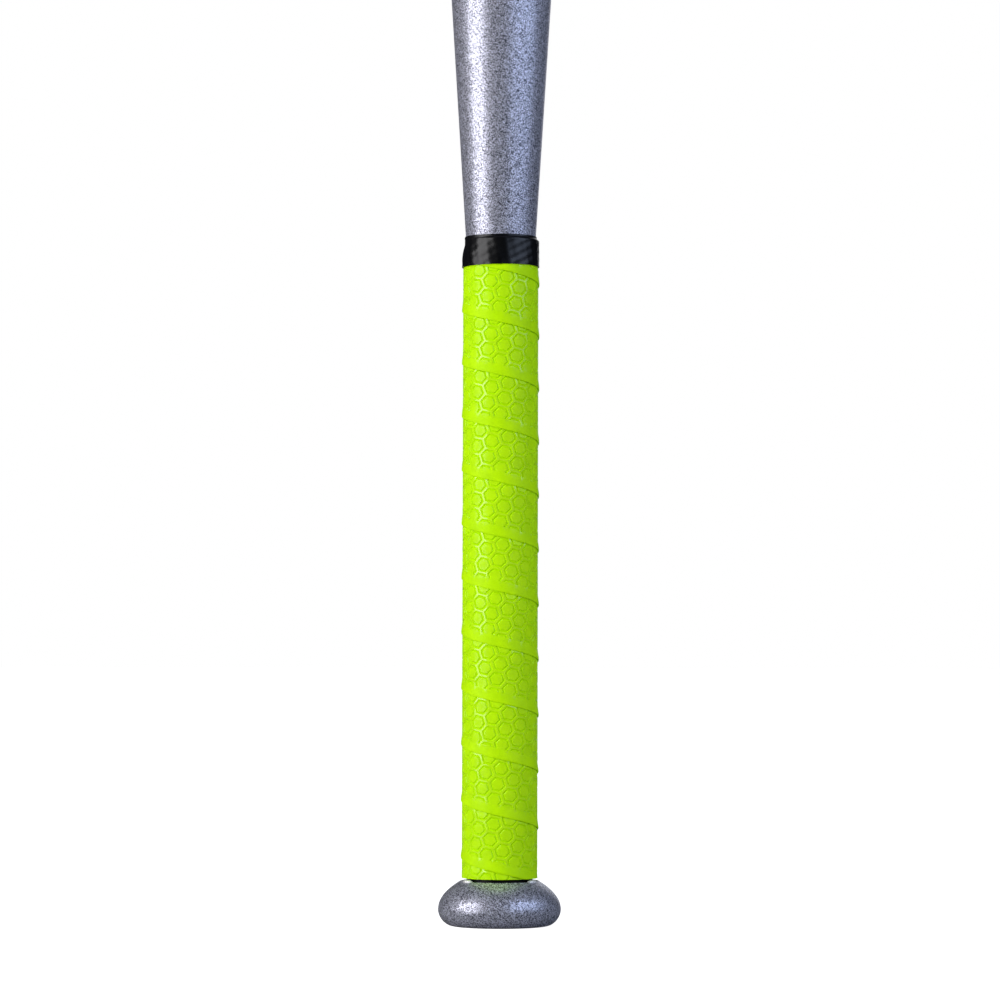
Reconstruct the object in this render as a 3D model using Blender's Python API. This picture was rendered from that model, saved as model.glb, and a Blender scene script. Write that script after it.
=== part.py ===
"""A one-piece aluminium baseball bat with a wrapped grip, standing on its knob.

Metres, +Z up along the bat. The origin is the centre of the knob's base.
The sections follow the order in which the bat is put together: the shell, its knob and welds,
what goes inside the handle and the barrel, the end cap, then the grip and its tapes.
"""

import math

import bmesh
import bpy

# ---------------------------------------------------------------- driving dimensions
BAT_LENGTH = 0.813
BARREL_RADIUS = 0.0285
HANDLE_RADIUS = 0.0132
KNOB_RADIUS = 0.0245
SEGMENTS = 24  # sides of every turned part, and of each turn of a wound strip
GAP = 0.0003  # clearance between pieces that touch on the real bat
THIN_GAP = 0.0001  # clearance between the layers of wound tape

# Shell: a swaged tube whose taper is straight between two blends.
TAPER_SLOPE = 0.0625
TAPER_START = 0.2616  # where the straight taper would meet the handle
TAPER_END = TAPER_START + (BARREL_RADIUS - HANDLE_RADIUS) / TAPER_SLOPE
LOWER_BLEND = 0.007
UPPER_BLEND = 0.036
HANDLE_WALL = 0.0026
BARREL_WALL = 0.0022
SHELL_FOOT = 0.0032
LIP_CENTRE_Z = 0.801  # the barrel's end rolls inwards round this level
LIP_BEND = 0.0065
LIP_OPENING = BARREL_RADIUS - LIP_BEND
HANDLE_BORE = HANDLE_RADIUS - HANDLE_WALL
BARREL_BORE = BARREL_RADIUS - BARREL_WALL

# Knob: an elliptical crown over a tighter elliptical heel.
KNOB_WIDEST_Z = 0.0067
CROWN_CENTRE_R = 0.0090
CROWN_RISE = 0.0122
HEEL_CENTRE_R = 0.0193
KNOB_BORE = HANDLE_RADIUS + GAP
RECESS_RADIUS = 0.0160
RECESS_DEPTH = 0.0045

# Welds: three tacks in a groove on top of the knob, and a ring inside its recess.
GROOVE_FOOT_Z = 0.0160
GROOVE_RADIUS = 0.0156
TACK_AZIMUTHS = (-150, -30, 90)
TACK_HALF_ANGLE = 11
TACK_STEPS = 8
TACK_TOP_Z = 0.0187
ROOT_WELD_LEG = 0.0018

# Plug, damper, foam and end cap.
PLUG_DISC = 0.0020
PLUG_FLOOR_Z = 0.0004
PLUG_STEM_TOP = 0.0140
PLUG_STEM_WALL = 0.0018
DAMPER_FOOT, DAMPER_TOP = 0.0400, 0.0720
DAMPER_LAND = 0.0070
DAMPER_WAIST = 0.0012
FOAM_FOOT, FOAM_TOP = 0.7700, 0.7880
FOAM_CHAMFER = 0.0020
CAP_FLANGE_RADIUS = 0.0254
CAP_EDGE_HEIGHT = 0.0046
CAP_FLAT_INNER, CAP_FLAT_OUTER = 0.0108, 0.0155
CAP_DISH = 0.0010
CAP_SKIRT_BORE = 0.0192
CAP_BARB_RADIUS = 0.0234
CAP_FOOT = 0.7960

# Grip: a strip wound up the handle, each turn lapping the one below.
ADHESIVE_THICKNESS = 0.0002
ADHESIVE_WIDTH = 0.0120
ADHESIVE_TURNS = (0.0, 9.8)
STRIP_THICKNESS = 0.0015
STRIP_WIDTH = 0.0262  # measured along the bat's axis
GRIP_RADIUS = HANDLE_RADIUS + 2 * THIN_GAP + ADHESIVE_THICKNESS + STRIP_THICKNESS
LAP_STEP = 0.00045  # how far a lower margin stands proud of the turn below
SKIVED_EDGE = 0.0005  # the strip's thickness at its edges
WIND_FOOT = 0.0215  # height of the strip's lower edge at the front of turn 0
WIND_LEAD = 0.0227
WIND_LEAD_LOSS = 0.000085
WIND_TURNS = (-1.5, 11.75)
GRIP_BOTTOM = 0.0190
GRIP_TOP = 0.2735

# Finishing tape: vinyl, from the grip's end down onto the bare tube.
FINISH_BOTTOM = 0.2632
FINISH_TOP = 0.2752
FINISH_THICKNESS = 0.0002
FINISH_TURNS = (0.0, 2.1)

# Base colour, roughness and metallic value of each material.
MATERIALS = {
    "silver_paint": ((0.36, 0.38, 0.43), 0.35, 0.9),
    "bare_weld": ((0.75, 0.75, 0.76), 0.30, 1.0),
    "black_moulding": ((0.025, 0.025, 0.027), 0.45, 0.0),
    "grip_polyurethane": ((0.42, 0.80, 0.01), 0.55, 0.0),
    "adhesive": ((0.75, 0.72, 0.62), 0.60, 0.0),
    "black_vinyl": ((0.012, 0.012, 0.014), 0.25, 0.0),
    "foam": ((0.10, 0.10, 0.11), 0.90, 0.0),
    "damper_rubber": ((0.05, 0.05, 0.05), 0.70, 0.0),
}


# ---------------------------------------------------------------- helpers
def clear_scene():
    for obj in list(bpy.data.objects):
        bpy.data.objects.remove(obj, do_unlink=True)


def material(name):
    """The named Principled material, made on first use."""
    if name in bpy.data.materials:
        return bpy.data.materials[name]
    colour, roughness, metallic = MATERIALS[name]
    made = bpy.data.materials.new(name)
    made.use_nodes = True
    shader = made.node_tree.nodes["Principled BSDF"]
    shader.inputs["Base Color"].default_value = (*colour, 1.0)
    shader.inputs["Roughness"].default_value = roughness
    shader.inputs["Metallic"].default_value = metallic
    return made


def add_object(name, builder, material_name):
    """A named object from a filled bmesh, its normals outwards and its round faces smooth."""
    bmesh.ops.recalc_face_normals(builder, faces=builder.faces)
    mesh = bpy.data.meshes.new(name)
    builder.to_mesh(mesh)
    builder.free()
    mesh.shade_smooth()
    mesh.set_sharp_from_angle(angle=math.radians(35))
    mesh.materials.append(material(material_name))
    obj = bpy.data.objects.new(name, mesh)
    bpy.context.scene.collection.objects.link(obj)
    return obj


def arc(centre_r, centre_z, half_width, half_height, start, end, steps):
    """Points (r, z) on an ellipse from angle start to end, in degrees, 0 pointing outwards."""
    points = []
    for i in range(steps + 1):
        angle = math.radians(start + (end - start) * i / steps)
        r = centre_r + half_width * math.cos(angle)
        z = centre_z + half_height * math.sin(angle)
        points.append((r, z))
    return points


def turned(name, profile, material_name):
    """A closed outline (r, z) spun round the bat's axis, where it may touch the axis at its two ends."""
    builder = bmesh.new()
    verts = [builder.verts.new((r, 0.0, z)) for r, z in profile]
    edges = []
    for i, (r, _) in enumerate(profile):
        following = (i + 1) % len(profile)
        if r > 0.0 or profile[following][0] > 0.0:
            edges.append(builder.edges.new((verts[i], verts[following])))
    bmesh.ops.spin(
        builder,
        geom=edges + verts,
        cent=(0.0, 0.0, 0.0),
        axis=(0.0, 0.0, 1.0),
        angle=math.tau,
        steps=SEGMENTS,
        use_merge=True,
    )
    bmesh.ops.remove_doubles(builder, verts=builder.verts, dist=1e-6)
    return add_object(name, builder, material_name)


def swept(rings):
    """A solid through equal rings of points, one for each step of its path, closed at both ends."""
    builder = bmesh.new()
    rows = [[builder.verts.new(point) for point in ring] for ring in rings]
    count = len(rows[0])
    for first, second in zip(rows, rows[1:]):
        for i in range(count):
            following = (i + 1) % count
            builder.faces.new((first[i], first[following], second[following], second[i]))
    builder.faces.new(rows[0])
    builder.faces.new(reversed(rows[-1]))
    return builder


def cut_level(builder, level, keep_above):
    """Cuts a mesh square at a height, keeps one side of it and closes the cut with one face."""
    cut = bmesh.ops.bisect_plane(
        builder,
        geom=builder.verts[:] + builder.edges[:] + builder.faces[:],
        dist=1e-7,
        plane_co=(0.0, 0.0, level),
        plane_no=(0.0, 0.0, 1.0),
        clear_inner=keep_above,
        clear_outer=not keep_above,
    )
    rim = [edge for edge in cut["geom_cut"] if isinstance(edge, bmesh.types.BMEdge)]
    bmesh.ops.edgeloop_fill(builder, edges=rim)


# ---------------------------------------------------------------- shell
def blended_rise(z, start, half_width):
    """Height above start of a line of slope 1 that eases in over start +- half_width."""
    if z <= start - half_width:
        return 0.0
    if z >= start + half_width:
        return z - start
    return (z - start + half_width) ** 2 / (4 * half_width)


def shell_radius(z):
    """Outer radius at height z: handle, straight taper, then barrel, a parabola at each change."""
    rise = blended_rise(z, TAPER_START, LOWER_BLEND) - blended_rise(z, TAPER_END, UPPER_BLEND)
    return HANDLE_RADIUS + TAPER_SLOPE * rise


def wall_at(z):
    """Wall thickness, which swaging leaves greatest at the handle."""
    share = (shell_radius(z) - HANDLE_RADIUS) / (BARREL_RADIUS - HANDLE_RADIUS)
    return HANDLE_WALL + (BARREL_WALL - HANDLE_WALL) * share


def spread(centre, half_width, steps):
    """Evenly spaced heights across centre +- half_width."""
    return [centre - half_width + 2 * half_width * i / steps for i in range(steps + 1)]


def make_shell():
    """Up the outside, over the rolled lip, and down the inside."""
    heights = [SHELL_FOOT, TAPER_START / 2]
    heights += spread(TAPER_START, LOWER_BLEND, 2)
    heights += [(TAPER_START + TAPER_END) / 2]
    heights += spread(TAPER_END, UPPER_BLEND, 6)
    heights += [(TAPER_END + LIP_CENTRE_Z) / 2, LIP_CENTRE_Z]
    outline = [(shell_radius(z), z) for z in heights]
    outline += arc(LIP_OPENING, LIP_CENTRE_Z, LIP_BEND, LIP_BEND, 18, 90, 4)
    inner_bend = LIP_BEND - BARREL_WALL
    outline += arc(LIP_OPENING, LIP_CENTRE_Z, inner_bend, inner_bend, 90, 30, 2)
    outline += [(shell_radius(z) - wall_at(z), z) for z in reversed(heights)]
    return turned("bat_shell", outline, "silver_paint")


# ---------------------------------------------------------------- knob and its welds
def make_knob():
    """The crown falls from the weld groove, and the heel turns under to the flat base."""
    crown_width = KNOB_RADIUS - CROWN_CENTRE_R
    groove_angle = math.degrees(math.acos((GROOVE_RADIUS - CROWN_CENTRE_R) / crown_width))
    outline = arc(CROWN_CENTRE_R, KNOB_WIDEST_Z, crown_width, CROWN_RISE, groove_angle, 0, 8)
    heel_width = KNOB_RADIUS - HEEL_CENTRE_R
    outline += arc(HEEL_CENTRE_R, KNOB_WIDEST_Z, heel_width, KNOB_WIDEST_Z, -15, -90, 5)
    outline += [
        (RECESS_RADIUS, 0.0),
        (RECESS_RADIUS, RECESS_DEPTH),
        (KNOB_BORE, RECESS_DEPTH),
        (KNOB_BORE, GROOVE_FOOT_Z),
    ]
    return turned("knob", outline, "silver_paint")


def make_tack_weld(number, azimuth):
    """A short bead in the groove between tube and knob, thinning to both ends."""
    root = KNOB_BORE + THIN_GAP
    foot_z = GROOVE_FOOT_Z + 2 * GAP
    section = [
        (root, foot_z),
        (root + 0.0018, TACK_TOP_Z - 0.0002),
        (root + 0.0014, TACK_TOP_Z),
        (root + 0.0007, TACK_TOP_Z),
        (root, TACK_TOP_Z - 0.0003),
    ]
    middle_r = sum(r for r, _ in section) / len(section)
    middle_z = sum(z for _, z in section) / len(section)
    rings = []
    for i in range(TACK_STEPS + 1):
        along = 2 * i / TACK_STEPS - 1
        fullness = math.sqrt(1.02 - along * along)
        angle = math.radians(azimuth + TACK_HALF_ANGLE * along)
        ring = []
        for r, z in section:
            ring_r = middle_r + (r - middle_r) * fullness
            ring_z = middle_z + (z - middle_z) * fullness
            ring.append((ring_r * math.cos(angle), ring_r * math.sin(angle), ring_z))
        rings.append(ring)
    return add_object(f"knob_tack_weld_{number}", swept(rings), "bare_weld")


def make_root_weld():
    """The continuous fillet under the knob, which fills the corner round the tube's foot."""
    top = RECESS_DEPTH - GAP
    outline = [
        (KNOB_BORE, top - 0.6 * ROOT_WELD_LEG),
        (KNOB_BORE + ROOT_WELD_LEG / 3, top - 0.7 * ROOT_WELD_LEG),
        (KNOB_BORE + 0.8 * ROOT_WELD_LEG, top - 0.45 * ROOT_WELD_LEG),
        (KNOB_BORE + ROOT_WELD_LEG, top),
        (KNOB_BORE, top),
    ]
    return turned("knob_root_weld", outline, "bare_weld")


def make_knob_plug():
    """A moulded disc that fills the recess, on a hollow stem with two barbs inside the tube."""
    disc_r = RECESS_RADIUS - GAP
    disc_top = PLUG_FLOOR_Z + PLUG_DISC
    barb_r = HANDLE_BORE - GAP
    stem_bore = barb_r - PLUG_STEM_WALL
    chamfer = 0.0004
    outline = [
        (0.0, PLUG_FLOOR_Z),
        (disc_r - chamfer, PLUG_FLOOR_Z),
        (disc_r, PLUG_FLOOR_Z + chamfer),
        (disc_r, disc_top),
        (barb_r - chamfer, disc_top),
        (barb_r - chamfer, PLUG_STEM_TOP / 2),
        (barb_r, PLUG_STEM_TOP / 2 + chamfer),
        (barb_r - chamfer, PLUG_STEM_TOP * 0.71),
        (barb_r, PLUG_STEM_TOP * 0.71 + chamfer),
        (barb_r - 2 * chamfer, PLUG_STEM_TOP),
        (stem_bore, PLUG_STEM_TOP),
        (stem_bore, disc_top + chamfer),
        (0.0, disc_top + chamfer),
    ]
    return turned("knob_plug", outline, "black_moulding")


# ---------------------------------------------------------------- inside the handle and barrel
def make_handle_damper():
    """A rubber stopper pressed into the handle, waisted between two sealing lands."""
    land_r = HANDLE_BORE - GAP
    waist_r = land_r - DAMPER_WAIST
    shoulder = DAMPER_LAND + 0.002
    outline = [
        (0.0, DAMPER_FOOT),
        (land_r - 0.0010, DAMPER_FOOT),
        (land_r, DAMPER_FOOT + 0.0015),
        (land_r, DAMPER_FOOT + DAMPER_LAND),
        (waist_r, DAMPER_FOOT + shoulder),
        (waist_r, DAMPER_TOP - shoulder),
        (land_r, DAMPER_TOP - DAMPER_LAND),
        (land_r, DAMPER_TOP - 0.0015),
        (land_r - 0.0010, DAMPER_TOP),
        (0.0, DAMPER_TOP),
    ]
    return turned("handle_damper", outline, "damper_rubber")


def make_barrel_foam():
    """A closed-cell plug that dams the cap's adhesive and deadens the barrel's ring."""
    radius = BARREL_BORE - GAP
    outline = [
        (0.0, FOAM_FOOT),
        (radius - FOAM_CHAMFER, FOAM_FOOT),
        (radius, FOAM_FOOT + FOAM_CHAMFER),
        (radius, FOAM_TOP - FOAM_CHAMFER),
        (radius - FOAM_CHAMFER, FOAM_TOP),
        (0.0, FOAM_TOP),
    ]
    return turned("barrel_foam", outline, "foam")


# ---------------------------------------------------------------- end cap
def make_end_cap():
    """A moulded cap that snaps over the rolled lip: a dished crown, a neck, a barb and a skirt."""
    edge_z = BAT_LENGTH - CAP_EDGE_HEIGHT
    seat = LIP_BEND + GAP
    seat_angle = math.degrees(math.acos((CAP_FLANGE_RADIUS - 0.0006 - LIP_OPENING) / seat))
    neck_r = LIP_OPENING - GAP
    barb_z = LIP_CENTRE_Z + LIP_BEND - BARREL_WALL - 3 * GAP
    outline = [
        (0.0, BAT_LENGTH - CAP_DISH),
        (CAP_FLAT_INNER - CAP_DISH, BAT_LENGTH - CAP_DISH),
        (CAP_FLAT_INNER, BAT_LENGTH),
        (CAP_FLAT_OUTER, BAT_LENGTH),
    ]
    crown_width = CAP_FLANGE_RADIUS - CAP_FLAT_OUTER
    outline += arc(CAP_FLAT_OUTER, edge_z, crown_width, CAP_EDGE_HEIGHT, 75, 0, 5)
    outline += arc(LIP_OPENING, LIP_CENTRE_Z, seat, seat, seat_angle, 90, 2)
    outline += [
        (neck_r, LIP_CENTRE_Z + seat),
        (neck_r, barb_z + 0.0005),
        (CAP_BARB_RADIUS, barb_z),
        (CAP_BARB_RADIUS, barb_z - 0.0011),
        (neck_r, CAP_FOOT + 0.0035),
        (neck_r - 0.0005, CAP_FOOT),
        (CAP_SKIRT_BORE, CAP_FOOT),
        (CAP_SKIRT_BORE, edge_z),
        (0.0, edge_z),
    ]
    return turned("end_cap", outline, "black_moulding")


def make_end_cap_adhesive():
    """The urethane bead between the cap's barb and the barrel's wall."""
    wall = BARREL_BORE - GAP
    bead_top = LIP_CENTRE_Z + 0.0020
    outline = [
        (wall - 0.0016, CAP_FOOT + 0.0008),
        (wall, CAP_FOOT + 0.0002),
        (wall, LIP_CENTRE_Z),
        (wall - 0.0006, bead_top - 0.0005),
        (wall - 0.0020, bead_top),
        (wall - 0.0022, bead_top - 0.0010),
        (wall - 0.0030, CAP_FOOT + 0.0030),
    ]
    return turned("end_cap_adhesive", outline, "adhesive")


# ---------------------------------------------------------------- grip and its tapes
def strip_foot(turn):
    """Height of the strip's lower edge so many turns above the front, its lead easing upwards."""
    return WIND_FOOT + WIND_LEAD * turn - WIND_LEAD_LOSS * turn * turn


def wound(section_at, turns):
    """A strip wound left-handed up the bat: section_at gives its outline (r, height) at each turn."""
    first, last = (round(turn * SEGMENTS) for turn in turns)
    rings = []
    for step in range(first, last + 1):
        turn = step / SEGMENTS
        angle = -math.pi / 2 - math.tau * turn
        section = section_at(turn)
        rings.append([(r * math.cos(angle), r * math.sin(angle), z) for r, z in section])
    return swept(rings)


def grip_seat(z):
    """Radius of what the grip lies on: the tube with the adhesive film on it."""
    return shell_radius(z) + 2 * THIN_GAP + ADHESIVE_THICKNESS


def grip_section(turn):
    """The strip's outline: its lower margin laps the turn below, and its upper one is lapped in turn."""
    foot = strip_foot(turn)
    top = foot + STRIP_WIDTH
    below_top = strip_foot(turn - 1) + STRIP_WIDTH
    above_foot = strip_foot(turn + 1)
    lifted = GRIP_RADIUS + LAP_STEP
    tucked_seat = grip_seat(below_top)
    return [
        (lifted - SKIVED_EDGE, foot),
        (lifted, foot),
        (GRIP_RADIUS, below_top),
        (GRIP_RADIUS, above_foot - 0.0008),
        (grip_seat(top) + SKIVED_EDGE, top),
        (grip_seat(top), top),
        (tucked_seat, below_top + THIN_GAP),
        (tucked_seat + SKIVED_EDGE + THIN_GAP, below_top + THIN_GAP),
    ]


def make_grip():
    """The wound strip, trimmed square above the knob and under the finishing tape."""
    strip = wound(grip_section, WIND_TURNS)
    cut_level(strip, GRIP_BOTTOM, keep_above=True)
    cut_level(strip, GRIP_TOP, keep_above=False)
    return add_object("grip_tape", strip, "grip_polyurethane")


def adhesive_section(turn):
    """The adhesive film, down the middle of the strip's contact with the tube."""
    lap = strip_foot(turn - 1) + STRIP_WIDTH - strip_foot(turn)
    middle = strip_foot(turn) + (STRIP_WIDTH + lap) / 2
    low, high = middle - ADHESIVE_WIDTH / 2, middle + ADHESIVE_WIDTH / 2
    inner = HANDLE_RADIUS + THIN_GAP
    outer = inner + ADHESIVE_THICKNESS
    return [(inner, low), (outer, low), (outer, high), (inner, high)]


def make_grip_adhesive():
    film = wound(adhesive_section, ADHESIVE_TURNS)
    return add_object("grip_adhesive_strip", film, "adhesive")


def finishing_section(turn):
    """One layer of vinyl: level over the grip's end, then sloping in onto the tube."""
    lift = THIN_GAP + (FINISH_THICKNESS + THIN_GAP) * turn
    over_grip = GRIP_RADIUS + LAP_STEP + lift
    on_tube = shell_radius(FINISH_TOP) + lift + 2 * THIN_GAP
    inner = [
        (over_grip, FINISH_BOTTOM),
        (over_grip, GRIP_TOP - GAP),
        (over_grip - 2 * THIN_GAP, GRIP_TOP + 3 * GAP),
        (on_tube, FINISH_TOP),
    ]
    outer = [(r + FINISH_THICKNESS, z) for r, z in reversed(inner)]
    return inner + outer


def make_finishing_tape():
    tape = wound(finishing_section, FINISH_TURNS)
    return add_object("finishing_tape", tape, "black_vinyl")


# ---------------------------------------------------------------- assembly
def main():
    clear_scene()
    make_shell()
    make_knob()
    for number, azimuth in enumerate(TACK_AZIMUTHS, start=1):
        make_tack_weld(number, azimuth)
    make_root_weld()
    make_knob_plug()
    make_handle_damper()
    make_barrel_foam()
    make_end_cap()
    make_end_cap_adhesive()
    make_grip()
    make_grip_adhesive()
    make_finishing_tape()


main()
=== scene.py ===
"""The finished baseball bat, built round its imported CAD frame.

Metres, +Z up along the bat, the origin at the centre of the knob's base. Every CAD node is
replaced by a finer piece in the same place. The sections follow the order in which the bat is
put together: shell, knob and welds, plug, damper, foam, end cap, then the grip and its tapes.
"""

import bmesh
import bpy
import numpy as np
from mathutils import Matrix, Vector
from mathutils.geometry import delaunay_2d_cdt


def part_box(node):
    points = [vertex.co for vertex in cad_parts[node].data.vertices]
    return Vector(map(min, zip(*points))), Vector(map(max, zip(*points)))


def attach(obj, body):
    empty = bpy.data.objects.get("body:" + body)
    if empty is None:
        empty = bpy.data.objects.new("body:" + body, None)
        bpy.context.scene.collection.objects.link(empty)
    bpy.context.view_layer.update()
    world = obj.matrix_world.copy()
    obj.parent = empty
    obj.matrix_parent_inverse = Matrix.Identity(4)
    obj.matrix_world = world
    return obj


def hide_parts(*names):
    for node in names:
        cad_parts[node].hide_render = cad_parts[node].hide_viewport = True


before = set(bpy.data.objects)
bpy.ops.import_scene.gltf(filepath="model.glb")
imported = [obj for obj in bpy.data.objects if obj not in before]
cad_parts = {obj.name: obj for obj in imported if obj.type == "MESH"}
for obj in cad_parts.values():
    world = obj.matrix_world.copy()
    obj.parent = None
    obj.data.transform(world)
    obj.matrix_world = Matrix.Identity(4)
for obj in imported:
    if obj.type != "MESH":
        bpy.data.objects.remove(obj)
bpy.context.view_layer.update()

# ---------------------------------------------------------------- camera
# A long lens at the height of the middle of the grip, tilted up a little, so that the bat is in
# view from its knob to the start of its taper.
LENS = 0.134
SENSOR = 0.036
CAMERA_DISTANCE = 1.49
CAMERA_HEIGHT = 0.110
CAMERA_TILT = np.radians(2.298)
CAMERA_ROLL = np.radians(-0.125)

camera_data = bpy.data.cameras.new("camera")
camera_data.lens = LENS * 1000
camera_data.sensor_width = SENSOR * 1000
camera_data.clip_end = 100
camera = bpy.data.objects.new("camera", camera_data)
camera.location = (0, -CAMERA_DISTANCE, CAMERA_HEIGHT)
camera.rotation_euler = (np.pi / 2 + CAMERA_TILT, CAMERA_ROLL, 0)
bpy.context.scene.collection.objects.link(camera)
bpy.context.scene.camera = camera
bpy.context.scene.view_settings.view_transform = "Standard"

# ---------------------------------------------------------------- studio
# A white cove: a pale floor that runs out to nothing, a bright room that the diffuse surfaces see
# and darker walls that the shiny ones reflect. The softboxes show in the paint, the washes don't.
FLOOR_SIZE = 40.0
FLOOR_GLOW = 0.93
PAPER_COLOUR = (0.60, 0.60, 0.61, 1)
PAPER_REFLECTED = (0.10, 0.10, 0.11, 1)
ROOM_LIGHT = (0.17, 0.175, 0.185, 1)
WALL_LIGHT = (0.020, 0.022, 0.028, 1)
LIGHT_FOOT = 0.01
TALL, LOW, MIDDLE = 1.75, 0.85, 0.40


def add_node(tree, kind, inputs=(), **settings):
    """A shader node with its settings, and its inputs by name or number. A socket is linked."""
    made = tree.nodes.new(kind if kind.startswith("NodeGroup") else "ShaderNode" + kind)
    for name, value in settings.items():
        setattr(made, name, value)
    for name, value in dict(inputs).items():
        if isinstance(value, bpy.types.NodeSocket):
            tree.links.new(value, made.inputs[name])
        else:
            made.inputs[name].default_value = value
    return made


def add_mix(tree, factor, first, second):
    """The first colour where the factor is 0, the second where it is 1."""
    return add_node(tree, "Mix", {0: factor, 6: first, 7: second}, data_type="RGBA").outputs[2]


def light_the_room():
    """The world, white to the camera, brighter to diffuse rays than to reflected ones."""
    world = bpy.data.worlds.new("studio_room")
    world.use_nodes = True
    world.cycles.sampling_method = "NONE"
    tree = world.node_tree
    tree.nodes.clear()
    rays = add_node(tree, "LightPath")
    seen = add_mix(tree, rays.outputs["Is Glossy Ray"], ROOM_LIGHT, WALL_LIGHT)
    shown = add_mix(tree, rays.outputs["Is Camera Ray"], seen, (1, 1, 1, 1))
    air = add_node(tree, "Background", {"Color": shown})
    add_node(tree, "OutputWorld", {"Surface": air.outputs[0]})
    bpy.context.scene.world = world


def lay_floor():
    """A square floor under the knob. It glows to the camera, so only the bat's shadow tints it."""
    half = FLOOR_SIZE / 2
    mesh = bpy.data.meshes.new("floor")
    corners = [(-half, -half, 0), (half, -half, 0), (half, half, 0), (-half, half, 0)]
    mesh.from_pydata(corners, [], [(0, 1, 2, 3)])
    paper = bpy.data.materials.new("floor_paper")
    paper.use_nodes = True
    tree = paper.node_tree
    tree.nodes.clear()
    rays = add_node(tree, "LightPath")
    glow = add_node(tree, "Emission", {"Color": (1, 1, 1, 1), "Strength": FLOOR_GLOW})
    colour = add_mix(tree, rays.outputs["Is Glossy Ray"], PAPER_COLOUR, PAPER_REFLECTED)
    matt = add_node(tree, "BsdfDiffuse", {"Color": colour})
    both = add_node(tree, "AddShader", {0: glow.outputs[0], 1: matt.outputs[0]})
    lit = {0: rays.outputs["Is Camera Ray"], 1: matt.outputs[0], 2: both.outputs[0]}
    surface = add_node(tree, "MixShader", lit)
    add_node(tree, "OutputMaterial", {"Surface": surface.outputs[0]})
    mesh.materials.append(paper)
    floor = bpy.data.objects.new("floor", mesh)
    bpy.context.scene.collection.objects.link(floor)


def hang_softbox(name, bearing, spread, distance, foot, head, radiance, colour, shiny=True):
    """A lit panel facing the bat, bearing degrees to the camera's right and spread degrees wide.

    Its radiance is the same all over, so its power is that times pi times its area.
    """
    panel = bpy.data.lights.new(name, "AREA")
    panel.shape = "RECTANGLE"
    panel.size = 2 * distance * np.tan(np.radians(spread / 2))
    panel.size_y = head - foot
    panel.energy = radiance * np.pi * panel.size * panel.size_y
    panel.color = colour
    softbox = bpy.data.objects.new(name, panel)
    turn = np.radians(bearing)
    height = (head + foot) / 2
    softbox.location = (distance * np.sin(turn), -distance * np.cos(turn), height)
    facing = Vector((-np.sin(turn), np.cos(turn), 0))
    softbox.rotation_euler = facing.to_track_quat("-Z", "Y").to_euler()
    softbox.visible_camera = False
    softbox.visible_glossy = shiny
    bpy.context.scene.collection.objects.link(softbox)


light_the_room()
lay_floor()
hang_softbox("key_softbox", -62, 42, 1.7, LIGHT_FOOT, TALL, 3.2, (0.99, 0.98, 1.0))
hang_softbox("key_wash", -54, 40, 1.7, LIGHT_FOOT, LOW, 3.9, (1.0, 1.0, 0.99), shiny=False)
hang_softbox("front_wash", 14, 50, 1.9, LIGHT_FOOT, LOW, 1.3, (1.0, 1.0, 1.0), shiny=False)
hang_softbox("fill_softbox", 58, 62, 1.7, MIDDLE, TALL, 1.9, (0.62, 0.74, 1.0))
hang_softbox("fill_wash", 58, 62, 1.7, LIGHT_FOOT, MIDDLE, 1.4, (0.62, 0.74, 1.0), shiny=False)
hang_softbox("rear_softbox", 172, 34, 2.2, LIGHT_FOOT, TALL, 0.8, (0.97, 0.98, 1.0))

# ---------------------------------------------------------------- shell
# The bat's body is one aluminium tube, drawn thin at the barrel and swaged down to the handle,
# with its far end rolled in over a mandrel. It is sprayed silver with a coarse metal flake.
BAT_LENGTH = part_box("end_cap")[1].z
SHELL_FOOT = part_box("bat_shell")[0].z
BARREL_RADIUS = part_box("bat_shell")[1].x
HANDLE_RADIUS = 0.0132
HANDLE_WALL = 0.0026
BARREL_WALL = 0.0022
HANDLE_BORE = HANDLE_RADIUS - HANDLE_WALL
TAPER_SLOPE = 0.0625
TAPER_START = 0.2616
TAPER_END = TAPER_START + (BARREL_RADIUS - HANDLE_RADIUS) / TAPER_SLOPE
LOWER_BLEND = 0.007
UPPER_BLEND = 0.036
FIT_GAP = 0.0003  # between parts that fit into each other
LIP_BEND = 0.0065
LIP_CENTRE_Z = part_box("bat_shell")[1].z - LIP_BEND
LIP_OPENING = BARREL_RADIUS - LIP_BEND
SIDES = 160

LOOSE_SHARE = 0.62  # loose flakes to each fine one, along a line
LOOSE_WEIGHT = 0.45
PAINT_DARK = (0.02, 0.02, 0.035, 1)
PAINT_LIGHT = (0.84, 0.85, 1.00, 1)
# Painted shade: the paint turns almost black in the weld groove under the grip's edge, fading in
# over these radii and heights.
GROOVE_SHADE = (0.006, 0.006, 0.007, 1)
SHADE_FADE_RADIUS, SHADE_FULL_RADIUS = 0.0150, 0.0147  # radii under the grip's edge
SHADE_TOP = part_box("grip_tape")[0].z + 0.0006
SHADE_FOOT = 0.0190


def add_piece(name, points, faces, finish, replaced, slot, crease=40):
    """An object at the origin from points and outward faces, smooth except over sharp edges."""
    mesh = bpy.data.meshes.new(name)
    mesh.from_pydata(points, [], faces)
    mesh.shade_smooth()
    mesh.set_sharp_from_angle(angle=np.radians(crease))
    mesh.materials.append(finish)
    piece = bpy.data.objects.new(name, mesh)
    bpy.context.scene.collection.objects.link(piece)
    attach(piece, "root")
    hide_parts(replaced)
    return piece


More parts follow.
